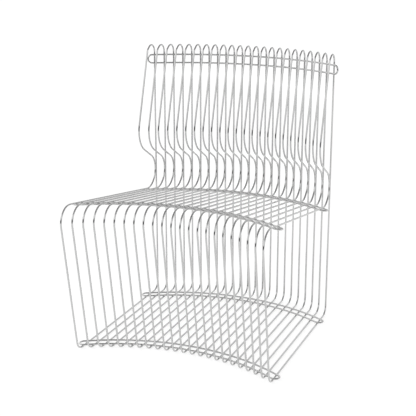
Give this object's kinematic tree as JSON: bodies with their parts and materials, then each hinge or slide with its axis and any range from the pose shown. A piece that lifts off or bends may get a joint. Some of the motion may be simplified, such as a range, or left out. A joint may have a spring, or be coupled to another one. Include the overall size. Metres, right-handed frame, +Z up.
{
  "type": "wire chair",
  "caption": "Armless wire chair: a row of closed chromed wire loops along a concave arc makes base, seat and back, tied together by racetrack-shaped wire rings.",
  "frame": {"origin": "on the floor, at the centre of the overall width and depth", "axes": "+Z up, +Y to the back of the chair, +X to the right of someone who faces the chair from the front"},
  "size_m": [0.5764, 0.6468, 0.765],
  "materials": {
    "chromed_wire": "bright chrome plate on drawn steel wire"
  },
  "bodies": {
    "root": {"wire_loop_01": "chromed_wire", "wire_loop_02": "chromed_wire", "wire_loop_03": "chromed_wire", "wire_loop_04": "chromed_wire", "wire_loop_05": "chromed_wire", "wire_loop_06": "chromed_wire", "wire_loop_07": "chromed_wire", "wire_loop_08": "chromed_wire", "wire_loop_09": "chromed_wire", "wire_loop_10": "chromed_wire", "wire_loop_11": "chromed_wire", "wire_loop_12": "chromed_wire", "wire_loop_13": "chromed_wire", "wire_loop_14": "chromed_wire", "wire_loop_15": "chromed_wire", "wire_loop_16": "chromed_wire", "wire_loop_17": "chromed_wire", "wire_loop_18": "chromed_wire", "wire_loop_19": "chromed_wire", "wire_loop_20": "chromed_wire", "wire_loop_21": "chromed_wire", "wire_loop_22": "chromed_wire", "wire_loop_23": "chromed_wire", "back_top_ring": "chromed_wire", "seat_rear_ring": "chromed_wire", "seat_front_ring": "chromed_wire", "base_rear_ring": "chromed_wire", "base_front_ring": "chromed_wire"}
  },
  "joints": []
}
